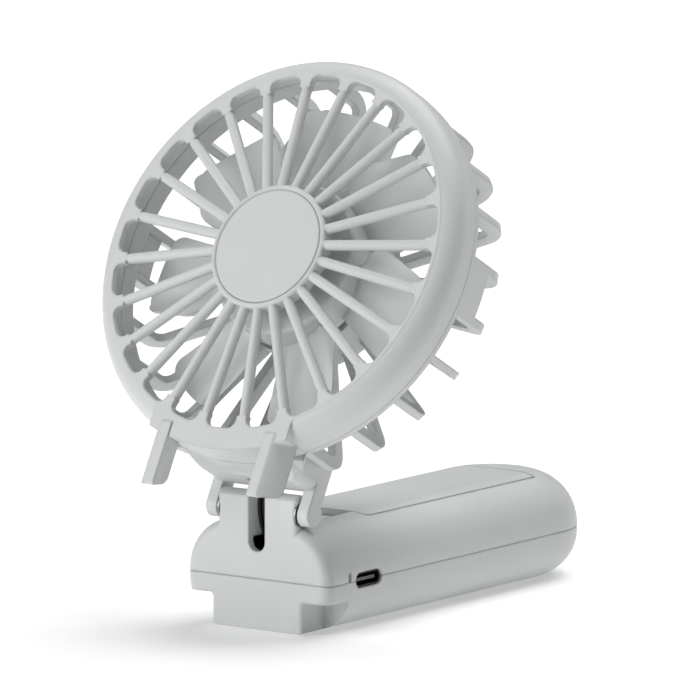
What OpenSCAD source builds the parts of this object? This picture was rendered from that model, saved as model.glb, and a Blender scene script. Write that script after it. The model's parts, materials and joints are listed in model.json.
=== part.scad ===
// Folding handheld fan. The handle lies on its front face and the fan head leans back on its hinge.
// Millimetres, +Z up, +X across, +Y from the hinge end towards the far end of the handle.
// The origin lies on the resting plane, in the middle of the outer box.
// Head parts are drawn in the hub's own frame: X across, Y up the head, Z forward along the hub axis,
// with zero at the front face of the hub. Handle parts are drawn from the handle's front end face.

/* [Handle] */
// Width of the handle
handle_w = 38.4; // [38:0.1:39]
// Length of the handle
handle_l = 107; // [106:0.5:110]
// Height of the handle above the surface that it lies on
handle_h = 23.4; // [23.2:0.1:23.8]
// Wall of the two handle shells
wall = 1.8; // [1.6:0.1:1.8]
// Width of the hinge knuckle
knuckle_w = 21; // [20.6:0.1:21]
// Width of the foot between the two corner notches
foot_w = 24.2; // [24:0.1:24.4]
// Width of the back cover
cover_w = 22.2; // [21.8:0.1:22.4]

/* [Head] */
// Backward lean of the fan head from upright, in degrees
lean = 28.8; // [20:0.2:35]
// Outer diameter of the front ring
ring_d = 91.2; // [90.8:0.1:91.6]
// Number of spokes, and of rear ribs
spoke_n = 24; // [20:2:24]
// Diameter of a spoke
spoke_d = 2.3; // [2:0.1:2.4]
// Diameter of the hub disc
hub_d = 28.6; // [28:0.1:29]
// Diameter of the badge set into the hub
badge_d = 26; // [25:0.1:26]
// Depth of the head from the hub's front face to the hinge axis
head_deep = 26.4; // [26.4:0.1:27]
// Height of the hub's centre above the hinge axis, measured up the head
hub_rise = 50.9; // [50.8:0.1:51.2]

/* [Impeller] */
// Number of blades
blade_n = 7; // [5:1:7]
// Radius of the blade tips
blade_r = 36.2; // [35:0.1:37]
// Thickness of a blade
blade_t = 1.2; // [1:0.1:1.4]

/* [Power] */
// Diameter of the battery cell in its sleeve
cell_d = 18.6; // [18.2:0.1:18.8]
// Length of the battery cell
cell_l = 65; // [64:0.5:66]
// Diameter of the power button
button_d = 9; // [8:0.1:9.4]

/* [Hidden] */
$fn = 96;

// Colours
shell_white = [0.86, 0.87, 0.87];
blade_white = [0.82, 0.83, 0.84];
steel = [0.72, 0.73, 0.75];
brass = [0.80, 0.66, 0.36];
black = [0.06, 0.06, 0.07];
board_green = [0.10, 0.36, 0.24];

// Small clearances
eps = 0.02;
fit = 0.05;
skin_gap = 0.3;

// Handle outline: arcs at the top and bottom corners, and a round far end
top_r = handle_h / 2;
bottom_r = 10.2;
half_w = handle_w / 2;
top_flat = half_w - top_r;
bottom_flat = half_w - bottom_r;
tail_y = handle_l - half_w;
seam_z = 11.3;
seam_gap = 0.08;
lip_t = 0.8;
lip_h = 0.9;
ceiling_z = 20.2;
end_round = 2.5;

// Hinge
hinge_y = 2.6;
hinge_z = 26;
knuckle_r = 4.1;
pin_r = 1.2;
pin_in = 4;
pin_out = 12.9;
ear_r = 2.6;
ear_in = 10.8;
ear_out = 13.6;
ear_back = 1.3;
washer_t = 0.4;
washer_r = 2.8;
slot_w = 4.4;
slot_z = 17.2;

// Notches that take the prongs when the fan is unfolded
notch_y = 7.85;
notch_z = 7.2;
foot_round = 0.9;

// Back cover and its seat
cover_y = 25;
cover_end = 89.9;
cover_seat = 21.8;
cover_bow = 41.8;
window_w = 17.2;
window_y = 32;
recess_w = 15;
recess_z = 21.8;

// Power parts
board_z = 8.7;
board_t = 1;
board_y = 6.5;
board_end = 24.5;
port_y = 14.75;
port_w = 9.6;
port_h = 3.4;
led_y = 7.8;
led_z = 12.3;
button_y = 20;
button_top = 1.6;
boss_x = 8;
boss_y = 28.5;
post_x = 11.2;
post_y = 22;
cell_y = 32.5;
cell_z = 11.7;
cell_r = cell_d / 2;

// Head, in the hub's frame
ring_r = ring_d / 2;
throat_r = 41.6;
crest_z = -2.6;
ring_round = 4.6;
shoulder_r = ring_r - ring_round;
skirt_t = 1.7;
plate_t = 1.6;
badge_t = 0.9;
skirt_z = -10.6;
chin_r = 46;
chin_x = 18.2;
prong_in = 12.4;
prong_end = -55.45;
prong_front = -2.3;
prong_back = -6.9;
prong_soft = 0.6;
slot_end_r = 41;
slot_corner = 2;
pitch = 360 / spoke_n;
guard_z = -12.1;
guard_back = -26.3;
guard_r = 45;
leg = 3.2;
rib_t = 1.8;
cup_r = 18.2;
cup_wall = 1.6;
cup_back = -26.2;
block_x = 13.6;
block_taper = -18;
block_bottom = -46.3;
block_top = -39.9;
block_back = -24.5;
neck_front = skirt_z - 0.15;
screw_ring_r = 42.65;
screw_turn = 11;

// Motor, in the hub's frame
can_r = 12.2;
can_front = -13.5;
can_back = -23.2;
shaft_r = 1;
screw_r = 0.75;
motor_screw_r = 14.2;

// The rounded front of the prong tips sets the middle of the outer box
front_y = hinge_y + (prong_end + prong_soft + hub_rise) * sin(lean)
    - (head_deep + prong_front - prong_soft) * cos(lean) - prong_soft;
mid_y = (front_y + handle_l) / 2;

// Motor lead: one wire's points on the head as [across, rise from the hinge axis, depth in front of
// it], then its points in the handle as [across, distance from the front end face, height]
lead_wire_r = 0.55;
lead_head = [[7, 50.6, 2.2], [6.8, 48, 2.2], [5.2, 45.2, 2.2], [2.4, 43, 2.2], [0.85, 41.6, 2.2],
    [0.62, 40, 2.2], [0.62, 30, 2.4], [0.62, 18, 2.4], [0.62, 9, 2.4], [0.62, 5, 2.3]];
lead_handle = [[0.62, 2.1, 27.6], [0.62, 2.3, 25], [0.62, 3, 22.4], [0.62, 4.4, 19.6], [0.62, 7, 17],
    [0.62, 10, 15.2], [0.62, 12.4, 13], [0.62, 13, 9.9]];
lead_step = 3;
// Battery leads: points as [across, along, height]
plus_route = [[14.5, 22.6, 10.35], [14.6, 25, 10.2], [14, 28, 8], [12.6, 32, 6], [12, 40, 5.4], [12, 65, 5.4],
    [12, 90, 5.4], [11.4, 95.5, 5.6], [9.6, 98.2, 6.8], [7, 98.6, 8.4], [4.5, 98.4, 9.6]];
minus_route = [[-6, 22.4, 10.35], [-5.6, 24.6, 10.6], [-4.2, 27, 11.4], [-4, 30, 11.8], [-4, 32.2, 11.7]];
battery_wire_r = 0.6;
battery_step = 3;

// ---- Frames ----
module handle_frame() {
    translate([0, -mid_y, 0])
        children();
}

module hub_frame() {
    translate([0, hinge_y - mid_y, hinge_z])
        rotate([-lean, 0, 0])
            translate([0, -head_deep, hub_rise])
                rotate([90, 0, 0])
                    children();
}

module both_sides() {
    children();
    mirror([1, 0, 0])
        children();
}

// A tube about the hub axis, from depth z0 forward to z1
module hub_tube(r_in, r_out, z0, z1) {
    translate([0, 0, z0])
        difference() {
            cylinder(r = r_out, h = z1 - z0);
            translate([0, 0, -1])
                cylinder(r = r_in, h = z1 - z0 + 2);
        }
}

module hub_disc(r, z0, z1) {
    translate([0, 0, z0])
        cylinder(r = r, h = z1 - z0);
}

// A box given by its two corners
module box(a, b) {
    translate(a)
        cube([b[0] - a[0], b[1] - a[1], b[2] - a[2]]);
}

// ---- Swept wires ----
function unit(v) = v / norm(v);
function spline(a, b, c, d, t) =
    0.5 * (2 * b + (c - a) * t + (2 * a - 5 * b + 4 * c - d) * t * t + (3 * b - a - 3 * c + d) * t * t * t);
function smooth_route(p, n) = [
    for (i = [0 : len(p) - 2], k = [0 : n - 1])
        spline(p[max(i - 1, 0)], p[i], p[i + 1], p[min(i + 2, len(p) - 1)], k / n),
    p[len(p) - 1]
];
function heading(p, i) = unit(p[min(i + 1, len(p) - 1)] - p[max(i - 1, 0)]);

// A round wire along a route. The side vector is never parallel to the route.
module wire(route, r, side) {
    sides = 8;
    last = len(route) - 1;
    points = [
        for (i = [0 : last])
            let (t = heading(route, i), u = unit(cross(t, side)), w = cross(u, t))
                for (k = [0 : sides - 1])
                    route[i] + r * (cos(360 * k / sides) * u + sin(360 * k / sides) * w)
    ];
    walls = [
        for (i = [0 : last - 1], k = [0 : sides - 1])
            [i * sides + k, i * sides + (k + 1) % sides,
             (i + 1) * sides + (k + 1) % sides, (i + 1) * sides + k]
    ];
    start = [for (k = [0 : sides - 1]) sides - 1 - k];
    end = [for (k = [0 : sides - 1]) last * sides + k];
    polyhedron(points = points, faces = concat(walls, [start, end]), convexity = 8);
}

// ---- Handle outline ----
// One side of the cross-section, set in from the skin, between two heights
module half_section(inset, low, high) {
    intersection() {
        union() {
            translate([top_flat, handle_h - top_r])
                circle(r = top_r - inset);
            translate([bottom_flat, bottom_r])
                circle(r = bottom_r - inset);
            translate([0, inset])
                square([bottom_flat, bottom_r]);
            translate([0, bottom_r])
                square([top_flat, handle_h - bottom_r - inset]);
            translate([0, bottom_r])
                square([half_w - inset, handle_h - top_r - bottom_r]);
        }
        translate([0, low])
            square([handle_w, high - low]);
    }
}

// The handle's body from y0 to the far end, set in from the skin, between two heights
module handle_body(inset, y0, low, high) {
    translate([0, tail_y, 0])
        rotate([90, 0, 0])
            linear_extrude(tail_y - y0)
                both_sides()
                    half_section(inset, low, high);
    translate([0, tail_y, 0])
        rotate_extrude(angle = 180)
            half_section(inset, low, high);
}

// A flat end with a rounded rim: width across, height up to the end face
module soft_end(r, soft, h) {
    square([r - soft, h]);
    square([r, h - soft]);
    translate([r - soft, h - soft])
        circle(r = soft);
}

// The rounded rim alone: width across, height of the round
module soft_rim(r, soft) {
    square([r - soft, soft]);
    intersection() {
        translate([r - soft, 0])
            circle(r = soft);
        square([r, soft]);
    }
}

// One rounded corner of the handle's front end
module end_corner(x, z, r, turn) {
    translate([x, end_round, z])
        rotate([90, 0, 0])
            rotate([0, 0, turn])
                rotate_extrude(angle = 90)
                    soft_rim(r, end_round);
}

// The handle's front end above the notches, with a soft rim
module front_end(low, high) {
    intersection() {
        union() {
            both_sides() {
                end_corner(top_flat, handle_h - top_r, top_r, 0);
                end_corner(bottom_flat, bottom_r, bottom_r, -90);
                translate([0, end_round, bottom_r])
                    mirror([0, 1, 0])
                        linear_extrude(handle_h - top_r - bottom_r)
                            soft_rim(half_w, end_round);
            }
            box([-top_flat, 0, handle_h - top_r], [top_flat, end_round, handle_h - end_round]);
            box([-bottom_flat, 0, bottom_r - top_r / 2], [bottom_flat, end_round, bottom_r]);
        }
        box([-half_w, -1, low], [half_w, end_round + 1, high]);
    }
}

// Plan outline of the handle, set in from the skin
module plan(inset) {
    translate([inset - half_w, inset])
        square([handle_w - 2 * inset, tail_y - inset]);
    translate([0, tail_y])
        circle(r = half_w - inset);
}

// The two boxes that take the prongs, grown by a wall
module notches(grow) {
    both_sides()
        box([foot_w / 2 - grow, -1, -1], [half_w + 1, notch_y + grow, notch_z + grow]);
}

module port_cut() {
    port_bar(port_w, port_h, half_w - 4, half_w + 2);
}

module led_cut() {
    box([half_w - 3, led_y - 0.52, led_z - 1], [half_w + 1, led_y + 0.52, led_z + 1]);
}

// ---- Handle ----
module front_shell() {
    low_seam = seam_z - seam_gap / 2;
    color(shell_white)
        handle_frame()
            difference() {
                union() {
                    difference() {
                        union() {
                            handle_body(0, end_round, 0, low_seam);
                            front_end(notch_z, low_seam);
                            foot_front(low_seam);
                        }
                        difference() {
                            handle_body(wall, wall, wall, low_seam + 1);
                            notches(wall - 0.4);
                        }
                    }
                    shell_lip(low_seam);
                    front_shell_ribs();
                    translate([0, button_y, 1])
                        hub_tube(button_d / 2 + 1.3, button_d / 2 + 2.3, 0, 2.4);
                }
                notches(0);
                port_cut();
                led_cut();
                translate([0, button_y, -1])
                    cylinder(r = button_d / 2 + 0.25, h = 4);
                both_sides() {
                    translate([boss_x, boss_y, 3])
                        cylinder(r = screw_r, h = 30);
                    translate([post_x, post_y, 2.4])
                        cylinder(r = screw_r, h = 30);
                }
            }
}

// The front of the foot, with a small round along its edges
module foot_front(high) {
    intersection() {
        rotate([90, 0, 0])
            mirror([0, 0, 1])
                linear_extrude(end_round)
                    both_sides()
                        half_section(0, 0, high);
        linear_extrude(high) {
            translate([-foot_w / 2, foot_round])
                square([foot_w, end_round]);
            translate([foot_round - foot_w / 2, 0])
                square([foot_w - 2 * foot_round, end_round]);
            for (s = [-1, 1])
                translate([s * (foot_w / 2 - foot_round), foot_round])
                    circle(r = foot_round);
        }
        translate([-half_w, 0, 0])
            rotate([90, 0, 90])
                linear_extrude(handle_w) {
                    translate([foot_round, 0])
                        square([end_round, high]);
                    translate([0, foot_round])
                        square([end_round, high]);
                    translate([foot_round, foot_round])
                        circle(r = foot_round);
                }
    }
}

// The inner lip that locates the two shells
module shell_lip(low_seam) {
    difference() {
        translate([0, 0, low_seam - 1.2])
            linear_extrude(lip_h + 1.2)
                difference() {
                    plan(wall - lip_t);
                    plan(wall);
                }
        box([-slot_w, 0, low_seam], [slot_w, wall + 1, low_seam + 5]);
    }
}

// Screw bosses, board posts, cell cradles and the tail catch inside the front shell
module front_shell_ribs() {
    both_sides() {
        translate([boss_x, boss_y, 1])
            cylinder(r = 2.5, h = ceiling_z - 1 - skin_gap / 3);
        translate([post_x, post_y, 1.6])
            cylinder(r = 2.2, h = board_z - 1.6);
    }
    for (y = [cell_y + 12, cell_y + 50])
        difference() {
            box([-9.6, y, 1], [9.6, y + 1.6, 6.4]);
            translate([0, y - 1, cell_z])
                rotate([-90, 0, 0])
                    cylinder(r = cell_r + 0.15, h = 4);
        }
    box([-4.5, 102, 9.2], [4.5, handle_l - 1, 10.4]);
}

module back_shell() {
    high_seam = seam_z + seam_gap / 2;
    color(shell_white)
        handle_frame()
            difference() {
                union() {
                    difference() {
                        union() {
                            handle_body(0, end_round, high_seam, handle_h);
                            front_end(high_seam, handle_h);
                        }
                        handle_body(wall, wall, high_seam - 1, ceiling_z);
                        rebate(high_seam);
                    }
                    knuckle();
                    tail_hook();
                }
                lead_slot();
                hinge_bores();
                cover_seat_cut();
                box([-recess_w / 2, hinge_y + knuckle_r + 0.4, recess_z], [recess_w / 2, cover_y + 1, handle_h + 1]);
                along_cell(cell_y - 0.3)
                    cylinder(r = cell_r + 0.15, h = cell_l + 0.6);
                port_cut();
                led_cut();
                both_sides() {
                    translate([boss_x, boss_y, ceiling_z - 1])
                        cylinder(r = screw_r + 0.15, h = 5);
                    translate([boss_x, boss_y, ceiling_z + 0.7])
                        cylinder(r = 1.8, h = 5);
                }
            }
}

// The step in the back shell's rim that takes the front shell's lip
module rebate(high_seam) {
    translate([0, 0, high_seam - 1])
        linear_extrude(lip_h + 1.05)
            plan(wall - lip_t - 0.1);
}

module knuckle() {
    intersection() {
        union() {
            translate([-knuckle_w / 2, hinge_y, hinge_z])
                rotate([0, 90, 0])
                    cylinder(r = knuckle_r, h = knuckle_w);
            box([-knuckle_w / 2, 0, ceiling_z], [knuckle_w / 2, hinge_y + knuckle_r, hinge_z]);
        }
        translate([0, 0, ceiling_z])
            linear_extrude(12) {
                translate([1 - knuckle_w / 2, 0])
                    square([knuckle_w - 2, 8]);
                translate([-knuckle_w / 2, 1])
                    square([knuckle_w, 7]);
                for (s = [-1, 1])
                    translate([s * (knuckle_w / 2 - 1), 1])
                        circle(r = 1);
            }
    }
}

// The slot through the knuckle and the end wall that the motor lead runs in
module lead_slot() {
    r = slot_w / 2;
    box([-r, -1, slot_z + r], [r, hinge_y + knuckle_r + 1, hinge_z + 6]);
    translate([0, -1, slot_z + r])
        rotate([-90, 0, 0])
            cylinder(r = r, h = wall + 2);
}

module hinge_bores() {
    both_sides()
        translate([pin_in - 0.1, hinge_y, hinge_z])
            rotate([0, 90, 0]) {
                cylinder(r = pin_r + fit, h = knuckle_w);
                translate([0, 0, knuckle_w / 2 - washer_t - 0.1 - pin_in + 0.1])
                    cylinder(r = washer_r + 0.15, h = knuckle_w);
            }
}

// A hook on the back shell that catches under the front shell's far end
module tail_hook() {
    box([-3, 100.4, 7.8], [3, 101.7, ceiling_z + 0.5]);
    box([-3, 101.6, 7.8], [3, 102.8, 9]);
}

// Plan outline of the back cover, grown by the groove around it
module cover_plan(grow) {
    corner = 1.5;
    w = cover_w / 2 + grow;
    intersection() {
        union() {
            translate([-w, cover_y - grow + corner])
                square([2 * w, cover_end - cover_y]);
            translate([corner - w, cover_y - grow])
                square([2 * (w - corner), cover_end - cover_y]);
            for (s = [-1, 1])
                translate([s * (w - corner), cover_y - grow + corner])
                    circle(r = corner);
        }
        translate([0, cover_end - cover_bow])
            circle(r = cover_bow + grow);
    }
}

module cover_seat_cut() {
    translate([0, 0, cover_seat])
        linear_extrude(5)
            cover_plan(skin_gap);
    box([-window_w / 2, window_y, ceiling_z - 1], [window_w / 2, cover_end - 3, cover_seat + 1]);
}

module back_cover() {
    color(shell_white)
        handle_frame() {
            intersection() {
                translate([0, 0, cover_seat])
                    linear_extrude(5)
                        cover_plan(0);
                handle_body(0, cover_y - 2, cover_seat - 1, handle_h);
            }
            both_sides()
                for (y = [cover_y + 14, cover_y + 46]) {
                    box([window_w / 2 - 1.2, y, ceiling_z - 1.2], [window_w / 2 - 0.2, y + 5, cover_seat]);
                    box([window_w / 2 - 0.4, y, ceiling_z - 1.2], [window_w / 2 + 0.5, y + 5, ceiling_z - 0.1]);
                }
        }
}

// Two screws that hold the shells together, hidden under the back cover
module case_screws() {
    color(steel)
        handle_frame()
            both_sides()
                screw(boss_x, boss_y, ceiling_z + 0.7, 1.6, 0.8, 9);
}

// A screw with a cross recess, its head's underside at height z
module screw(x, y, z, head_r, head_h, length) {
    translate([x, y, z])
        difference() {
            union() {
                cylinder(r = head_r, h = head_h);
                translate([0, 0, -length])
                    cylinder(r = screw_r, h = length + eps);
            }
            for (turn = [0, 90])
                translate([0, 0, head_h])
                    rotate([0, 0, turn])
                        cube([head_r * 1.3, 0.35, 1], center = true);
        }
}

// ---- Switch ----
module power_button() {
    color(shell_white)
        handle_frame()
            translate([0, button_y, 0]) {
                translate([0, 0, button_top])
                    mirror([0, 0, 1])
                        rotate_extrude() {
                            intersection() {
                                soft_end(button_d / 2, 0.5, button_top - 0.3);
                                square([button_d, button_top]);
                            }
                        }
                translate([0, 0, button_top])
                    cylinder(r = button_d / 2, h = 0.5);
                translate([0, 0, wall + 0.1])
                    cylinder(r = button_d / 2 + 0.9, h = 0.7);
                translate([0, 0, wall])
                    cylinder(r = 1.5, h = 4.5 - wall);
            }
}

module tact_switch() {
    color(black)
        handle_frame()
            difference() {
                box([-3, button_y - 3, 5.4], [3, button_y + 3, board_z]);
                translate([0, button_y, 5])
                    cylinder(r = 1.75, h = 2.2);
            }
}

module switch_plunger() {
    color(black)
        handle_frame()
            translate([0, button_y, 4.55])
                cylinder(r = 1.7, h = 1.9);
}

// ---- Board ----
module circuit_board() {
    color(board_green)
        handle_frame()
            difference() {
                box([-14, board_y, board_z], [17, board_end, board_z + board_t]);
                both_sides()
                    translate([post_x, post_y, board_z - 1])
                        cylinder(r = screw_r + 0.1, h = 3);
            }
}

module board_screws() {
    color(steel)
        handle_frame()
            both_sides()
                screw(post_x, post_y, board_z + board_t, 1.6, 0.8, 4.5);
}

// Integrated circuits and the rows of small parts beside them
module board_chips() {
    top = board_z + board_t;
    color(black)
        handle_frame() {
            box([-6, 9, top], [-2, 13, top + 1]);
            box([2.5, 16, top], [5.5, 19, top + 0.9]);
            for (i = [0 : 3])
                box([-12.5 + 2.2 * i, 15.4, top], [-11.5 + 2.2 * i, 17.2, top + 0.6]);
            for (i = [0 : 2])
                box([3 + 2.2 * i, 9, top], [4.2 + 2.2 * i, 10.8, top + 0.8]);
        }
}

module board_coil() {
    color([0.25, 0.25, 0.27])
        handle_frame()
            translate([-10.5, 11, board_z + board_t])
                difference() {
                    union() {
                        cylinder(r = 2.8, h = 2.8);
                        translate([0, 0, 0.35])
                            cube([6, 6, 0.7], center = true);
                    }
                    translate([0, 0, 2.2])
                        cylinder(r = 1, h = 1);
                }
}

module status_led() {
    color([0.95, 0.94, 0.85])
        handle_frame()
            box([15.2, led_y - 0.7, board_z + board_t], [16.4, led_y + 0.7, led_z + 0.8]);
}

module light_pipe() {
    color([0.78, 0.79, 0.79])
        handle_frame() {
            box([16.5, led_y - 0.9, led_z - 1.2], [17.2, led_y + 0.9, led_z + 1.2]);
            box([17.1, led_y - 0.46, led_z - 0.94], [half_w - 0.25, led_y + 0.46, led_z + 0.94]);
        }
}

// A round-ended bar across the port, from x0 to x1
module port_bar(w, h, x0, x1) {
    translate([x0, port_y, seam_z])
        rotate([0, 90, 0])
            linear_extrude(x1 - x0) {
                square([h, w - h], center = true);
                for (s = [-1, 1])
                    translate([0, s * (w - h) / 2])
                        circle(r = h / 2);
            }
}

module usb_socket() {
    color([0.16, 0.16, 0.17])
        handle_frame() {
            difference() {
                port_bar(9.2, 3.1, 11.6, 18.7);
                port_bar(8.6, 2.5, 12.8, 19.7);
            }
            for (s = [-1, 1])
                box([13, port_y + s * 4.2 - 0.3, board_z + board_t], [15, port_y + s * 4.2 + 0.3, seam_z]);
        }
}

module usb_tongue() {
    color([0.45, 0.46, 0.47])
        handle_frame()
            box([12.8, port_y - 3.35, seam_z - 0.35], [18.2, port_y + 3.35, seam_z + 0.35]);
}

// ---- Battery ----
module along_cell(y) {
    translate([0, y, cell_z])
        rotate([-90, 0, 0])
            children();
}

module battery_cell() {
    color(steel)
        handle_frame()
            along_cell(cell_y) {
                cylinder(r = cell_r - 0.15, h = cell_l - 1);
                cylinder(r = 4, h = cell_l);
            }
}

module battery_sleeve() {
    color([0.20, 0.42, 0.62])
        handle_frame()
            along_cell(cell_y)
                difference() {
                    cylinder(r = cell_r, h = cell_l - 1);
                    translate([0, 0, -1])
                        cylinder(r = cell_r - 0.15, h = cell_l + 1);
                }
}

module battery_tabs() {
    color([0.78, 0.78, 0.76])
        handle_frame() {
            box([-5, cell_y - 0.2, cell_z - 2.5], [3, cell_y, cell_z + 2.5]);
            box([-3, cell_y + cell_l, cell_z - 3.5], [6, cell_y + cell_l + 0.2, cell_z + 1.5]);
        }
}

module battery_leads() {
    color([0.55, 0.10, 0.10])
        handle_frame() {
            wire(smooth_route(plus_route, battery_step), battery_wire_r, [1, 0.2, 0.3]);
            wire(smooth_route(minus_route, battery_step), battery_wire_r, [1, 0.2, 0.3]);
        }
}

// ---- Hinge ----
module hinge_pins() {
    color(steel)
        handle_frame()
            both_sides()
                translate([pin_in, hinge_y, hinge_z])
                    rotate([0, 90, 0])
                        cylinder(r = pin_r, h = pin_out - pin_in);
}

module friction_washers() {
    color([0.30, 0.30, 0.31])
        handle_frame()
            both_sides()
                translate([knuckle_w / 2 - washer_t - 0.1, hinge_y, hinge_z])
                    rotate([0, 90, 0])
                        hub_tube(pin_r + fit, washer_r, 0, washer_t);
}

// ---- Front grille ----
module front_grille() {
    color(shell_white)
        hub_frame() {
            hub_rim();
            for (i = [0 : spoke_n - 1])
                rotate([0, 0, pitch * (i + 0.5)])
                    spoke();
            difference() {
                union() {
                    hub_tube(slot_end_r - slot_corner - 0.8, throat_r + 0.1, crest_z - plate_t, crest_z);
                    rotate_extrude()
                        ring_section();
                    chin();
                }
                for (i = [0 : spoke_n - 1])
                    rotate([0, 0, pitch * i])
                        translate([0, 0, crest_z - 3])
                            linear_extrude(4)
                                slot_end();
                both_sides()
                    guard_screw_line()
                        cylinder(r = screw_r, h = 9);
            }
            both_sides()
                prong();
        }
}

module hub_rim() {
    edge = 0.6;
    groove = 0.35;
    recess_r = badge_d / 2 + fit;
    difference() {
        translate([0, 0, -3.4])
            rotate_extrude()
                intersection() {
                    soft_end(hub_d / 2, edge, 3.4);
                    square([hub_d, 4]);
                }
        translate([0, 0, -badge_t])
            cylinder(r = recess_r, h = 2);
        translate([0, 0, -groove])
            cylinder(r1 = recess_r, r2 = recess_r + 2 * groove, h = 2 * groove);
    }
}

// A round spoke that slopes back from the hub to the ring
module spoke() {
    inner = [13.6, 0, -1.25];
    outer = [40, 0, -3.85];
    slope = atan((inner[2] - outer[2]) / (outer[0] - inner[0]));
    translate(inner)
        rotate([0, 90 + slope, 0])
            cylinder(d = spoke_d, h = norm(outer - inner));
}

// Outer end of the slot that points along X: an arc about the hub with two rounded corners
module slot_end() {
    blend = 0.06;
    side = spoke_d / 2 + 0.1;
    corner_r = slot_end_r - slot_corner;
    corner_turn = pitch / 2 - asin((side + slot_corner) / corner_r);
    spoke_normal = [-sin(pitch / 2), cos(pitch / 2)];
    corner = corner_r * [cos(corner_turn), sin(corner_turn)];
    outer = corner + (slot_corner - blend) * spoke_normal;
    inner = outer - 3 * [cos(pitch / 2), sin(pitch / 2)];
    flip = [[1, 0], [0, -1]];
    polygon([inner, outer, corner, flip * corner, flip * outer, flip * inner]);
    for (c = [corner, flip * corner])
        translate(c)
            circle(r = slot_corner);
    intersection() {
        circle(r = slot_end_r);
        polygon([[1, 0], 1.1 * corner, 1.1 * flip * corner]);
    }
}

// Section of the ring: a round front that runs into the plate, and a thin skirt
module ring_section() {
    difference() {
        translate([shoulder_r, crest_z - ring_round])
            circle(r = ring_round);
        translate([0, crest_z - 3 * ring_round])
            square([ring_r + 1, 2 * ring_round]);
        translate([0, crest_z - 2 * ring_round])
            square([throat_r, 3 * ring_round]);
    }
    translate([ring_r - skirt_t, skirt_z])
        square([skirt_t, crest_z - ring_round - skirt_z + eps]);
}

// The ring's crisp lower edge between the prongs
module chin() {
    intersection() {
        union() {
            hub_tube(throat_r, chin_r, crest_z - ring_round, crest_z);
            hub_tube(ring_r - skirt_t, chin_r, skirt_z, crest_z - ring_round + eps);
        }
        box([-chin_x, -chin_r - 1, skirt_z - 1], [chin_x, -30, 0]);
    }
}

// A prong that slides into a notch of the handle when the fan is unfolded. Its outer side then
// carries on the handle's rounded corner.
module prong() {
    top = -41;
    intersection() {
        translate([prong_in, 0, 0])
            rotate([0, 90, 0])
                linear_extrude(half_w - prong_in)
                    prong_outline(top);
        translate([0, top, 0])
            rotate([90, 0, 0])
                linear_extrude(top - prong_end + 1)
                    translate([bottom_flat, hinge_z - head_deep - bottom_r])
                        circle(r = bottom_r);
    }
}

// Side view of a prong: the front edge is soft, and the end rises towards the heel
module prong_outline(top) {
    rise = 1.3;
    heel = 1;
    polygon([[-prong_front, top], [-prong_front, prong_end + prong_soft],
        [-prong_front + prong_soft, prong_end + prong_soft], [-prong_front + prong_soft, prong_end],
        [-prong_back - heel, prong_end + rise], [-prong_back, prong_end + rise + 1.4 * heel], [-prong_back, top]]);
    translate([-prong_front + prong_soft, prong_end + prong_soft])
        circle(r = prong_soft);
}

// The line of a screw that joins the guard and the grille, pointing forward from depth -12
module guard_screw_line() {
    rotate([0, 0, screw_turn - 90])
        translate([screw_ring_r, 0, -13.2])
            children();
}

module hub_badge() {
    dome = 0.3;
    color([0.83, 0.84, 0.84])
        hub_frame()
            translate([0, 0, -badge_t])
                rotate_extrude()
                    intersection() {
                        soft_end(badge_d / 2, dome, badge_t);
                        square([badge_d, 1]);
                    }
}

// ---- Rear guard ----
module rear_guard() {
    color(shell_white)
        hub_frame()
            difference() {
                union() {
                    hub_tube(throat_r, ring_r - 1.9, guard_z, crest_z - ring_round - 0.1);
                    hub_tube(throat_r, ring_r - 0.1, guard_z, skirt_z - 0.15);
                    for (i = [0 : spoke_n - 1])
                        rotate([0, 0, pitch * (i + 0.5)])
                            rib();
                    both_sides()
                        side_lug();
                    guard_cup();
                    neck();
                }
                cup_cuts();
                both_sides()
                    guard_screw_cut();
                both_sides()
                    on_hinge(pin_out)
                        mirror([0, 0, 1])
                            cylinder(r = pin_r, h = pin_out - ear_in + 1);
                box([-slot_w / 2, block_bottom - 1, block_back - 1], [slot_w / 2, -throat_r + 1, -20]);
            }
}

// A rib that runs back from the rim, turns in with a round corner and ends at the cup
module rib() {
    corner = 5;
    inner_corner = 1.6;
    rotate([90, 0, 0])
        translate([0, 0, -rib_t / 2])
            linear_extrude(rib_t)
                difference() {
                    union() {
                        translate([cup_r - 0.8, guard_back])
                            square([guard_r - cup_r + 0.8 - corner, corner + 1]);
                        translate([guard_r - corner - 1, guard_back + corner])
                            square([corner + 1, guard_z - guard_back - corner + 0.2]);
                        translate([guard_r - corner, guard_back + corner])
                            circle(r = corner);
                    }
                    translate([0, guard_back + leg + inner_corner])
                        square([guard_r - leg, 20]);
                    translate([0, guard_back + leg])
                        square([guard_r - leg - inner_corner, 20]);
                    translate([guard_r - leg - inner_corner, guard_back + leg + inner_corner])
                        circle(r = inner_corner);
                }
}

// The cup that holds the motor: outer wall, floor, sleeve and two screw bosses
module guard_cup() {
    hub_tube(cup_r - cup_wall, cup_r, cup_back, -16.2);
    hub_tube(10, cup_r - cup_wall + 0.1, can_back - 1.4, can_back);
    hub_tube(can_r + fit, can_r + 1.4, can_back - 0.1, -13.6);
    for (s = [-1, 1])
        translate([s * motor_screw_r, 0, can_back - 0.1])
            cylinder(r = 1.55, h = can_front - can_back + 0.1);
}

module cup_cuts() {
    for (s = [-1, 1])
        translate([s * motor_screw_r, 0, can_back + 3])
            cylinder(r = screw_r, h = 12);
    hub_disc(can_r + fit, can_back, 0);
    box([-1.7, -cup_r - 1, -25.3], [1.7, -8, -22.9]);
}

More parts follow.
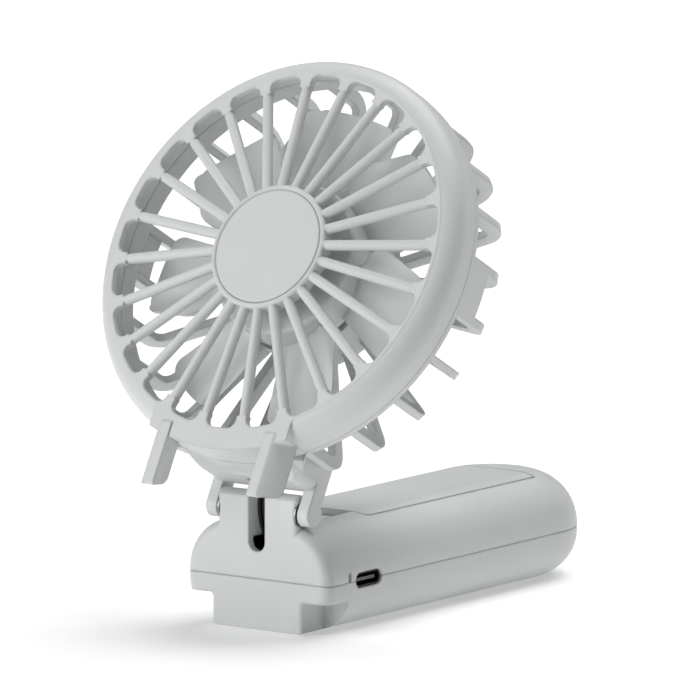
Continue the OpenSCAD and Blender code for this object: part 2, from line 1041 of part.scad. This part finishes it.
// A wall that closes the gap between the two ribs at the widest part of the ring
module side_lug() {
    half = guard_r * sin(pitch / 2);
    intersection() {
        hub_tube(guard_r - 2.2, guard_r, guard_z - 6.6, guard_z + 0.1);
        box([30, -half, guard_z - 7], [guard_r + 1, half, guard_z + 1]);
    }
}

// The neck block under the ring, with the two hinge ears behind it
module neck() {
    difference() {
        union() {
            intersection() {
                translate([0, 0, block_back])
                    linear_extrude(neck_front - block_back)
                        block_outline();
                neck_plan();
                neck_side();
            }
            intersection() {
                hub_disc(chin_r, block_taper, neck_front);
                neck_plan();
            }
            both_sides()
                ear();
        }
        hub_disc(throat_r, -40, 0);
    }
}

// The neck seen from the front
module block_outline() {
    corner = 2.4;
    top = block_top + 1.5;
    translate([-chin_x, block_bottom + corner])
        square([2 * chin_x, top - block_bottom - corner]);
    translate([corner - block_x, block_bottom])
        square([2 * (block_x - corner), top - block_bottom]);
    for (s = [-1, 1])
        translate([s * (block_x - corner), block_bottom + corner])
            circle(r = corner);
}

// The neck seen from above: it narrows from the width of the chin to the block
module neck_plan() {
    translate([0, block_top, 0])
        rotate([90, 0, 0])
            linear_extrude(block_top - block_bottom + 1)
                polygon([[-chin_x, neck_front], [-block_x, block_taper], [-block_x, block_back],
                    [block_x, block_back], [block_x, block_taper], [chin_x, neck_front]]);
}

// The neck seen from the side: its underside slopes down from the chin to the block
module neck_side() {
    translate([-chin_x - 1, 0, 0])
        rotate([0, 90, 0])
            linear_extrude(2 * chin_x + 2)
                polygon([[-neck_front, block_top + 2], [-neck_front, block_bottom + 2.6],
                    [-block_taper, block_bottom], [-block_back, block_bottom], [-block_back, block_top + 2]]);
}

module ear() {
    on_hinge(ear_in)
        cylinder(r = ear_r, h = ear_out - ear_in);
    box([ear_in, -hub_rise, -head_deep - ear_back], [ear_out, block_top, -head_deep + ear_r]);
}

// A frame on the hinge axis, with Z pointing outward along it from x
module on_hinge(x) {
    translate([x, -hub_rise, -head_deep])
        rotate([0, 90, 0])
            children();
}

module guard_screw_cut() {
    guard_screw_line() {
        cylinder(r = screw_r + 0.1, h = 9);
        mirror([0, 0, 1])
            cylinder(r = 1.75, h = 14);
    }
}

module guard_screws() {
    color(steel)
        hub_frame()
            both_sides()
                guard_screw_line()
                    rotate([180, 0, 0])
                        screw(0, 0, 0, 1.55, 0.9, 8.6);
}

// ---- Motor ----
module motor_can() {
    color(steel)
        hub_frame()
            difference() {
                hub_disc(can_r, can_back, can_front);
                hub_disc(can_r - 0.8, can_back - 1, can_front - 0.8);
                hub_disc(3, can_front - 1, can_front + 1);
            }
}

module motor_end_cap() {
    color(black)
        hub_frame()
            difference() {
                union() {
                    hub_disc(can_r - 0.8, can_back, can_back + 1.2);
                    hub_disc(5, can_back - 1.3, can_back + 0.1);
                }
                hub_disc(2.6, can_back - 2, can_back + 2);
                for (s = [-1, 1])
                    box([s * 7 - 1.05, -0.3, can_back - 1], [s * 7 + 1.05, 0.3, can_back + 2]);
            }
}

module motor_magnets() {
    color([0.22, 0.22, 0.24])
        hub_frame()
            difference() {
                hub_tube(9.4, can_r - 0.8, -21, -15);
                box([-20, -1.5, -22], [20, 1.5, -14]);
            }
}

// Front and rear bearing bushes
module motor_bushes() {
    color(brass)
        hub_frame() {
            hub_tube(shaft_r + fit, 3, can_front - 0.9, can_front + 1);
            hub_tube(shaft_r + fit, 2.6, can_back - 1.2, can_back + 1);
        }
}

module motor_terminals() {
    color(brass)
        hub_frame()
            for (s = [-1, 1])
                box([s * 7 - 1, -0.25, can_back - 1.7], [s * 7 + 1, 0.25, can_back + 1.1]);
}

module motor_retainer() {
    color(shell_white)
        hub_frame()
            difference() {
                hub_disc(15.8, can_front + 0.1, can_front + 1.1);
                hub_disc(7, can_front - 1, can_front + 2);
                for (s = [-1, 1])
                    translate([s * motor_screw_r, 0, can_front - 1])
                        cylinder(r = screw_r + 0.1, h = 3);
            }
}

module motor_screws() {
    color(steel)
        hub_frame()
            for (s = [-1, 1])
                screw(s * motor_screw_r, 0, can_front + 1.1, 1.4, 0.7, 6);
}

module motor_cover() {
    color(shell_white)
        hub_frame() {
            difference() {
                hub_disc(cup_r - cup_wall - 0.1, cup_back, can_back - 1.5);
                hub_disc(cup_r - cup_wall - 1.3, cup_back + 0.9, can_back);
                box([-1.7, -cup_r, cup_back + 0.9], [1.7, -10, can_back]);
            }
        }
}

module motor_armature() {
    color([0.62, 0.36, 0.20])
        hub_frame()
            difference() {
                union() {
                    for (i = [0 : 2])
                        rotate([0, 0, 120 * i + 30])
                            armature_pole();
                    hub_disc(3, -21, -15);
                    hub_tube(shaft_r, 1.9, -21.9, -20.9);
                }
                hub_disc(shaft_r, -30, 0);
            }
}

// One pole of the armature: a neck wound with wire and a curved face
module armature_pole() {
    box([0, -1.2, -20.4], [8, 1.2, -15.6]);
    box([3.4, -2.6, -20.8], [7, 2.6, -15.2]);
    intersection() {
        hub_tube(7.8, 9, -20.4, -15.6);
        rotate([0, 0, -45])
            box([0, 0, -21], [10, 10, -15]);
    }
}

module motor_shaft() {
    color(steel)
        hub_frame()
            hub_disc(shaft_r, can_back - 1.1, -8.9);
}

// ---- Impeller ----
module impeller() {
    color(blade_white)
        hub_frame()
            difference() {
                union() {
                    impeller_cup();
                    for (i = [0 : blade_n - 1])
                        rotate([0, 0, 140 - 360 / blade_n * i])
                            blade();
                }
                hub_disc(shaft_r, -20, -8.9);
            }
}

module impeller_cup() {
    outer = 17.6;
    front = -7.2;
    deep = 8;
    difference() {
        translate([0, 0, front - deep])
            rotate_extrude()
                intersection() {
                    soft_end(outer, 1, deep);
                    square([outer, deep]);
                }
        hub_disc(outer - 1.3, front - deep - 1, front - 1.5);
    }
    hub_disc(2.8, front - 4.4, front - 1);
}

// A twisted blade: a curved sheet cut to its outline, drawn pointing along X
module blade() {
    bend = 40;
    bend_y = -12.1;
    bend_z = 25;
    intersection() {
        translate([0, 0, -18])
            linear_extrude(12)
                blade_outline();
        translate([0, bend_y, bend_z])
            rotate([0, 90, 0])
                difference() {
                    cylinder(r = bend + blade_t / 2, h = 60);
                    translate([0, 0, -1])
                        cylinder(r = bend - blade_t / 2, h = 62);
                }
    }
}

// Blade outline: a round leading lobe, tight outer corners, and the tip circle
module blade_outline() {
    lobe = [23.6, 4.4];
    corner = [33.2, 5.9];
    heel = [32.1, -8.5];
    difference() {
        intersection() {
            circle(r = blade_r);
            union() {
                translate(lobe)
                    circle(r = 6);
                translate(corner)
                    circle(r = 2.2);
                translate(heel)
                    circle(r = 3);
                polygon([[15.8, 5], [25.07, 10.22], [33.74, 8.03], [37, 3], [36, -9.5], heel,
                    [31.1, -11.3], [15.6, -5.7]]);
            }
        }
        circle(r = 17);
    }
}

// ---- Motor lead ----
function head_point(p) = [p[0], hinge_y - mid_y + p[1] * sin(lean) - p[2] * cos(lean),
    hinge_z + p[1] * cos(lean) + p[2] * sin(lean)];
lead_route = concat([for (p = lead_head) head_point(p)], [for (p = lead_handle) p - [0, mid_y, 0]]);

module motor_lead() {
    color(black)
        both_sides()
            wire(smooth_route(lead_route, lead_step), lead_wire_r, [1, 0, 0]);
}

front_shell();
back_shell();
back_cover();
case_screws();
power_button();
tact_switch();
switch_plunger();
circuit_board();
board_chips();
board_coil();
board_screws();
status_led();
light_pipe();
usb_socket();
usb_tongue();
battery_cell();
battery_sleeve();
battery_tabs();
battery_leads();
friction_washers();
hinge_pins();
rear_guard();
front_grille();
hub_badge();
guard_screws();
motor_can();
motor_end_cap();
motor_magnets();
motor_bushes();
motor_terminals();
motor_retainer();
motor_screws();
motor_cover();
motor_armature();
motor_shaft();
impeller();
motor_lead();
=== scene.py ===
"""Looks of the folding handheld fan: camera, studio, the flexible wires and every material."""

import json
import math

import bpy
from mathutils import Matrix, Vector


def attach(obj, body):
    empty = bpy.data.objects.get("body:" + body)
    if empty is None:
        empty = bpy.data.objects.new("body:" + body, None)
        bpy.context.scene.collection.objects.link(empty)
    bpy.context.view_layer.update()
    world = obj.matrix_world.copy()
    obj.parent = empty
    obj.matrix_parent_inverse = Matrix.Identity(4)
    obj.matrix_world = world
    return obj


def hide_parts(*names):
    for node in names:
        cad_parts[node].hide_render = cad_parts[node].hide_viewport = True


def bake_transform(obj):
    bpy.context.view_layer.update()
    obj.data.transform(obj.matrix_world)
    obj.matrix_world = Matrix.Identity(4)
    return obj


MM = 0.001

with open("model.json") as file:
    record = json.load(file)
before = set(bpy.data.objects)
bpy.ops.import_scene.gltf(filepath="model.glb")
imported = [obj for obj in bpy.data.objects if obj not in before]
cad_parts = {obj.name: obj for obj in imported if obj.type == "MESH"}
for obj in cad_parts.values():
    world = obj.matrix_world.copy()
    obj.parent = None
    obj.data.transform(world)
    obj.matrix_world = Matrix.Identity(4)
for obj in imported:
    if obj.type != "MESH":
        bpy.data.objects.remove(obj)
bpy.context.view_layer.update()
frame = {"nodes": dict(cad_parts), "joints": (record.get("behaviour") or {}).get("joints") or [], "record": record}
nodes = frame["nodes"]
joints = {j["name"]: j for j in frame["joints"]}
scene = bpy.context.scene

# ---- Places taken from the frame ----
HINGE = Vector(joints["head_fold"]["pos_m"])
HUB_AXIS = Vector(joints["impeller_spin"]["axis"])
LEAN = math.atan2(HUB_AXIS.z, -HUB_AXIS.y)
HINGE_FROM_END = 2.6 * MM
END_Y = HINGE.y - HINGE_FROM_END


# ---- Camera ----
def make_camera():
    """Looks at the fan from its front right, a little above the table, through a long lens."""
    azimuth, elevation = math.radians(35.95), math.radians(8.62)
    distance = 2.039
    target = Vector((0, END_Y + 34.26 * MM, 56.96 * MM))
    back = Vector(
        (
            math.sin(azimuth) * math.cos(elevation),
            -math.cos(azimuth) * math.cos(elevation),
            math.sin(elevation),
        )
    )
    data = bpy.data.cameras.new("camera")
    data.sensor_width = 36
    data.lens = 481.7
    data.clip_start, data.clip_end = 0.05, 60
    camera = bpy.data.objects.new("camera", data)
    camera.location = target + back * distance
    camera.rotation_euler = (-back).to_track_quat("-Z", "Y").to_euler()
    scene.collection.objects.link(camera)
    scene.camera = camera


# ---- Material building blocks ----
# Cosine between the rounded and the real normal where the painted edge highlight starts, and where it is full
EDGE_STARTS = 0.995
EDGE_FULL = 0.85


class Shader:
    """A Principled material with short calls for grain, colour variation and rough patches."""

    def __init__(self, name, color, roughness, metallic=0.0, ior=1.46):
        self.material = bpy.data.materials.new(name)
        self.material.use_nodes = True
        self.tree = self.material.node_tree
        self.bsdf = self.tree.nodes["Principled BSDF"]
        self.color = color
        self.bsdf.inputs["Base Color"].default_value = (*color, 1)
        self.bsdf.inputs["Roughness"].default_value = roughness
        self.bsdf.inputs["Metallic"].default_value = metallic
        self.bsdf.inputs["IOR"].default_value = ior
        self.place = self.add("ShaderNodeTexCoord").outputs["Object"]
        self.normal = None

    def add(self, kind, **inputs):
        node = self.tree.nodes.new(kind)
        for key, value in inputs.items():
            node.inputs[key.replace("_", " ")].default_value = value
        return node

    def link(self, source, target):
        self.tree.links.new(source, target)

    def noise(self, scale, detail=2.0, stretch=None):
        """A noise field. scale is in features per metre; stretch squeezes it along an axis."""
        node = self.add("ShaderNodeTexNoise", Scale=scale, Detail=detail, Roughness=0.55)
        place = self.place
        if stretch:
            mapping = self.add("ShaderNodeMapping", Scale=stretch)
            self.link(place, mapping.inputs["Vector"])
            place = mapping.outputs["Vector"]
        self.link(place, node.inputs["Vector"])
        return node.outputs["Fac"]

    def ramp(self, factor, low, high):
        """Spreads the middle of a noise field over low to high."""
        node = self.add("ShaderNodeMapRange", From_Min=0.3, From_Max=0.7, To_Min=low, To_Max=high)
        self.link(factor, node.inputs["Value"])
        return node.outputs["Result"]

    def vary_color(self, scale, other, share, stretch=None):
        """Blends patches of another colour into the base colour."""
        mix = self.add("ShaderNodeMix")
        mix.data_type = "RGBA"
        mix.inputs["A"].default_value = (*self.color, 1)
        mix.inputs["B"].default_value = (*other, 1)
        self.link(self.ramp(self.noise(scale, 3.0, stretch), 0, share), mix.inputs["Factor"])
        self.link(mix.outputs["Result"], self.bsdf.inputs["Base Color"])
        self.mixed = mix
        return self

    def paint_edge_highlight(self, radius, other, share):
        """Paints a paler colour on sharp edges, a painted highlight where they catch the light."""
        bevel = self.add("ShaderNodeBevel", Radius=radius)
        bevel.samples = 4
        flat = self.add("ShaderNodeNewGeometry").outputs["Normal"]
        dot = self.add("ShaderNodeVectorMath")
        dot.operation = "DOT_PRODUCT"
        self.link(bevel.outputs["Normal"], dot.inputs[0])
        self.link(flat, dot.inputs[1])
        edge = self.add(
            "ShaderNodeMapRange", From_Min=EDGE_STARTS, From_Max=EDGE_FULL, To_Min=0, To_Max=share
        )
        self.link(dot.outputs["Value"], edge.inputs["Value"])
        mix = self.add("ShaderNodeMix")
        mix.data_type = "RGBA"
        mix.inputs["B"].default_value = (*other, 1)
        self.link(self.mixed.outputs["Result"], mix.inputs["A"])
        self.link(edge.outputs["Result"], mix.inputs["Factor"])
        self.link(mix.outputs["Result"], self.bsdf.inputs["Base Color"])
        return self

    def vary_roughness(self, scale, low, high, stretch=None):
        patches = self.ramp(self.noise(scale, 3.0, stretch), low, high)
        self.link(patches, self.bsdf.inputs["Roughness"])
        return self

    def soften_edges(self, radius):
        """Rounds the shading of sharp moulded edges."""
        bevel = self.add("ShaderNodeBevel", Radius=radius)
        bevel.samples = 4
        self.normal = bevel.outputs["Normal"]
        self.link(self.normal, self.bsdf.inputs["Normal"])
        return self

    def grain(self, scale, depth, strength=1.0, stretch=None):
        """Bumps of that depth in metres."""
        bump = self.add("ShaderNodeBump", Strength=strength, Distance=depth)
        self.link(self.noise(scale, 2.0, stretch), bump.inputs["Height"])
        if self.normal:
            self.link(self.normal, bump.inputs["Normal"])
        self.normal = bump.outputs["Normal"]
        self.link(self.normal, self.bsdf.inputs["Normal"])
        return self


# ---- Materials, one per slot of the record ----
SHELL = (0.620, 0.636, 0.634)


def shell_plastic():
    s = Shader("moulded_shell", SHELL, 0.42)
    s.vary_color(60, (0.590, 0.608, 0.609), 0.5)
    # Paler sharp edges: a painted highlight
    s.paint_edge_highlight(0.35 * MM, (0.70, 0.71, 0.71), 0.6)
    s.vary_roughness(900, 0.36, 0.50)
    s.soften_edges(0.8 * MM)
    s.grain(5200, 0.006 * MM, 0.7)
    return s.grain(420, 0.010 * MM, 0.35).material


def blade_plastic():
    s = Shader("moulded_blades", (0.72, 0.736, 0.736), 0.38)
    s.vary_color(80, (0.688, 0.706, 0.709), 0.5)
    # Paler sharp edges: a painted highlight
    s.paint_edge_highlight(0.3 * MM, (0.79, 0.80, 0.80), 0.5)
    s.vary_roughness(700, 0.32, 0.46)
    s.soften_edges(0.35 * MM)
    return s.grain(600, 0.008 * MM, 0.35).material


def badge_plastic():
    s = Shader("badge_face", (0.612, 0.628, 0.626), 0.40)
    s.vary_color(70, (0.587, 0.605, 0.605), 0.5)
    # Paler sharp edges: a painted highlight
    s.paint_edge_highlight(0.25 * MM, (0.69, 0.70, 0.70), 0.5)
    s.vary_roughness(900, 0.34, 0.46)
    s.soften_edges(0.3 * MM)
    return s.grain(5200, 0.005 * MM, 0.6).material


def lens_plastic():
    s = Shader("frosted_light_pipe", (0.40, 0.41, 0.42), 0.30, ior=1.49)
    s.bsdf.inputs["Transmission Weight"].default_value = 0.25
    s.vary_color(900, (0.34, 0.35, 0.36), 0.6)
    s.vary_roughness(2000, 0.24, 0.42)
    return s.grain(3000, 0.004 * MM, 0.5).material


def black_plastic():
    s = Shader("black_plastic", (0.018, 0.018, 0.020), 0.45)
    s.vary_color(600, (0.035, 0.035, 0.038), 0.6)
    s.vary_roughness(1500, 0.36, 0.55)
    return s.grain(4000, 0.006 * MM, 0.6).material


def port_metal():
    s = Shader("darkened_socket", (0.030, 0.030, 0.032), 0.35, metallic=0.8)
    s.vary_color(900, (0.06, 0.06, 0.062), 0.5)
    s.vary_roughness(2500, 0.28, 0.45)
    return s.grain(5000, 0.002 * MM, 0.5).material


def tongue_plastic():
    s = Shader("socket_tongue", (0.13, 0.135, 0.14), 0.5)
    s.vary_color(1500, (0.18, 0.18, 0.185), 0.5)
    s.vary_roughness(2500, 0.4, 0.6)
    return s.grain(5000, 0.003 * MM, 0.5).material


def steel():
    s = Shader("plated_steel", (0.55, 0.56, 0.58), 0.30, metallic=1)
    s.vary_color(400, (0.46, 0.47, 0.49), 0.6)
    s.vary_roughness(1800, 0.22, 0.42, (1, 1, 12))
    return s.grain(2500, 0.003 * MM, 0.4, (1, 1, 10)).material


def spring_steel():
    s = Shader("washer_steel", (0.30, 0.30, 0.31), 0.38, metallic=1)
    s.vary_color(700, (0.22, 0.22, 0.23), 0.6)
    s.vary_roughness(2200, 0.3, 0.5)
    return s.grain(3000, 0.003 * MM, 0.5).material


def brass():
    s = Shader("drawn_brass", (0.66, 0.50, 0.22), 0.30, metallic=1)
    s.vary_color(700, (0.52, 0.38, 0.17), 0.6)
    s.vary_roughness(2200, 0.22, 0.42)
    return s.grain(3000, 0.003 * MM, 0.4).material


def board():
    s = Shader("solder_mask", (0.020, 0.105, 0.055), 0.28)
    s.vary_color(350, (0.030, 0.145, 0.080), 0.8, (1, 4, 1))
    s.vary_roughness(1200, 0.2, 0.4)
    return s.grain(900, 0.012 * MM, 0.6, (1, 5, 1)).material


def ferrite():
    s = Shader("ferrite", (0.045, 0.045, 0.048), 0.6)
    s.vary_color(1500, (0.075, 0.075, 0.078), 0.6)
    s.vary_roughness(2500, 0.5, 0.75)
    return s.grain(3500, 0.01 * MM, 0.8).material


def nickel():
    s = Shader("nickel_strip", (0.62, 0.61, 0.57), 0.26, metallic=1)
    s.vary_color(500, (0.52, 0.51, 0.48), 0.6)
    s.vary_roughness(1800, 0.2, 0.38, (1, 8, 1))
    return s.grain(2500, 0.003 * MM, 0.4).material


def sleeve_film():
    s = Shader("shrink_film", (0.020, 0.085, 0.22), 0.25)
    s.vary_color(300, (0.026, 0.105, 0.26), 0.6)
    s.vary_roughness(800, 0.18, 0.34)
    return s.grain(350, 0.02 * MM, 0.5, (1, 0.3, 1)).material


def red_wire():
    s = Shader("red_insulation", (0.30, 0.015, 0.012), 0.38)
    s.vary_color(900, (0.22, 0.010, 0.010), 0.6)
    s.vary_roughness(2000, 0.3, 0.48)
    return s.grain(2500, 0.006 * MM, 0.5).material


def black_wire():
    s = Shader("black_insulation", (0.003, 0.003, 0.0035), 0.5, ior=1.3)
    s.vary_color(900, (0.006, 0.006, 0.007), 0.6)
    s.vary_roughness(2000, 0.42, 0.60)
    return s.grain(2500, 0.006 * MM, 0.5).material


def copper():
    s = Shader("enamelled_copper", (0.50, 0.22, 0.10), 0.34, metallic=0.9)
    s.vary_color(2500, (0.36, 0.14, 0.06), 0.7, (1, 1, 6))
    s.vary_roughness(2500, 0.26, 0.46)
    return s.grain(2800, 0.05 * MM, 0.7, (0.3, 0.3, 6)).material


SLOT_MATERIALS = {
    "shell_plastic": shell_plastic,
    "blade_plastic": blade_plastic,
    "badge_plastic": badge_plastic,
    "lens_plastic": lens_plastic,
    "black_plastic": black_plastic,
    "port_metal": port_metal,
    "tongue_plastic": tongue_plastic,
    "steel": steel,
    "spring_steel": spring_steel,
    "brass": brass,
    "board": board,
    "ferrite": ferrite,
    "nickel": nickel,
    "sleeve_film": sleeve_film,
    "red_wire": red_wire,
    "black_wire": black_wire,
    "copper": copper,
}


def dress_nodes(materials):
    """Gives every CAD node the material of its slot in the record."""
    for part in frame["record"]["subparts"]:
        mesh = nodes[part["node"]].data
        mesh.materials.clear()
        mesh.materials.append(materials[part["material_slot"]])


# ---- Wires ----
# The motor lead's points for one wire: on the head as (across, rise from the hinge axis, depth in
# front of it), then in the handle as (across, distance from the front end face, height), in mm.
LEAD_HEAD = [
    (7, 50.6, 2.2), (6.8, 48, 2.2), (5.2, 45.2, 2.2), (2.4, 43, 2.2), (0.85, 41.6, 2.2),
    (0.62, 40, 2.2), (0.62, 30, 2.4), (0.62, 18, 2.4), (0.62, 9, 2.4), (0.62, 5, 2.3),
]
LEAD_HANDLE = [
    (0.62, 2.1, 27.6), (0.62, 2.3, 25), (0.62, 3, 22.4), (0.62, 4.4, 19.6), (0.62, 7, 17),
    (0.62, 10, 15.2), (0.62, 12.4, 13), (0.62, 13, 9.9),
]
LEAD_RADIUS = 0.55
# The battery's leads, as (across, distance from the front end face, height), in mm
PLUS_ROUTE = [
    (14.5, 22.6, 10.35), (14.6, 25, 10.2), (14, 28, 8), (12.6, 32, 6), (12, 40, 5.4), (12, 65, 5.4),
    (12, 90, 5.4), (11.4, 95.5, 5.6), (9.6, 98.2, 6.8), (7, 98.6, 8.4), (4.5, 98.4, 9.6),
]
MINUS_ROUTE = [
    (-6, 22.4, 10.35), (-5.6, 24.6, 10.6), (-4.2, 27, 11.4), (-4, 30, 11.8), (-4, 32.2, 11.7),
]
BATTERY_WIRE_RADIUS = 0.6


def on_head(point):
    """A point of the leaning head, in the row frame."""
    x, rise, depth = (c * MM for c in point)
    y = HINGE.y + rise * math.sin(LEAN) - depth * math.cos(LEAN)
    z = HINGE.z + rise * math.cos(LEAN) + depth * math.sin(LEAN)
    return Vector((x, y, z))


def in_handle(point):
    x, y, z = (c * MM for c in point)
    return Vector((x, END_Y + y, z))


def smooth_route(points, steps):
    """A Catmull-Rom curve through the points."""
    route = []
    last = len(points) - 1
    for i in range(last):
        a, b = points[max(i - 1, 0)], points[i]
        c, d = points[i + 1], points[min(i + 2, last)]
        for k in range(steps):
            t = k / steps
            square = (2 * a - 5 * b + 4 * c - d) * t**2
            cube = (3 * b - a - 3 * c + d) * t**3
            route.append(0.5 * (2 * b + (c - a) * t + square + cube))
    route.append(points[last])
    return route


def wire(name, points, radius, material, sides=16, steps=10):
    """A round insulated wire along the points, as one closed mesh."""
    route = smooth_route(points, steps)
    verts, faces = [], []
    normal = None
    for i, p in enumerate(route):
        heading = (route[min(i + 1, len(route) - 1)] - route[max(i - 1, 0)]).normalized()
        if normal is None:
            normal = heading.orthogonal()
        normal = (normal - heading * normal.dot(heading)).normalized()
        side = heading.cross(normal)
        for k in range(sides):
            turn = math.tau * k / sides
            verts.append(p + radius * (math.cos(turn) * normal + math.sin(turn) * side))
    for i in range(len(route) - 1):
        for k in range(sides):
            a, b = i * sides + k, i * sides + (k + 1) % sides
            faces.append((a, b, b + sides, a + sides))
    faces.append(tuple(reversed(range(sides))))
    faces.append(tuple(range((len(route) - 1) * sides, len(route) * sides)))
    mesh = bpy.data.meshes.new(name)
    mesh.from_pydata(verts, [], faces)
    mesh.shade_smooth()
    mesh.materials.append(material)
    piece = bpy.data.objects.new(name, mesh)
    scene.collection.objects.link(piece)
    return piece


def motor_lead(material):
    """Two black wires from the motor to the board, laid over the hinge for the head at rest."""
    for name, side in (("motor_lead_right", 1), ("motor_lead_left", -1)):
        points = [on_head((side * x, s, d)) for x, s, d in LEAD_HEAD]
        points += [in_handle((side * x, y, z)) for x, y, z in LEAD_HANDLE]
        piece = wire(name, points, LEAD_RADIUS * MM, material)
        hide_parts("motor_lead")
        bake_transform(piece)


def battery_leads(material):
    for name, route in (("battery_lead_plus", PLUS_ROUTE), ("battery_lead_minus", MINUS_ROUTE)):
        piece = wire(name, [in_handle(p) for p in route], BATTERY_WIRE_RADIUS * MM, material)
        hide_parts("battery_leads")
        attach(piece, "handle")


# ---- Studio ----
def floor():
    """A plain pale table top, a hair under the resting face, that glows past the lamps' reach."""
    s = Shader("table_top", (0.85, 0.85, 0.85), 0.9)
    s.vary_roughness(30, 0.85, 0.95)
    s.bsdf.inputs["Emission Color"].default_value = (1, 1, 1, 1)
    reach = s.add("ShaderNodeVectorMath")
    reach.operation = "LENGTH"
    s.link(s.place, reach.inputs[0])
    lit, dim = 0.5, 2.0
    glow = s.add("ShaderNodeMapRange", From_Min=lit, From_Max=dim, To_Min=0.28, To_Max=0.95)
    s.link(reach.outputs["Value"], glow.inputs["Value"])
    s.link(glow.outputs["Result"], s.bsdf.inputs["Emission Strength"])
    half = 12
    top = -0.05 * MM
    corners = [(-half, -half, top), (half, -half, top), (half, half, top), (-half, half, top)]
    mesh = bpy.data.meshes.new("table")
    mesh.from_pydata(corners, [], [(0, 1, 2, 3)])
    mesh.materials.append(s.material)
    table = bpy.data.objects.new("table", mesh)
    scene.collection.objects.link(table)


def softbox(name, place, size, power):
    """A square area light that faces the object."""
    data = bpy.data.lights.new(name, "AREA")
    data.shape = "SQUARE"
    data.size = size
    data.energy = power
    light = bpy.data.objects.new(name, data)
    light.location = place
    middle = Vector((0, 0, 0.06))
    light.rotation_euler = (middle - place).to_track_quat("-Z", "Y").to_euler()
    scene.collection.objects.link(light)


def studio():
    """Soft light from above and from low at the front left, with a faint even surround."""
    softbox("top_box", Vector((0.1, 0.6, 1.6)), 1.6, 32)
    softbox("key_box", Vector((-0.9, -1.5, 0.6)), 1.2, 21)
    world = bpy.data.worlds.new("surround")
    world.use_nodes = True
    background = world.node_tree.nodes["Background"]
    background.inputs["Color"].default_value = (1, 1, 1, 1)
    background.inputs["Strength"].default_value = 0.04
    scene.world = world
    scene.view_settings.view_transform = "Standard"


make_camera()
slot_materials = {slot: build() for slot, build in SLOT_MATERIALS.items()}
dress_nodes(slot_materials)
motor_lead(slot_materials["black_wire"])
battery_leads(slot_materials["red_wire"])
floor()
studio()
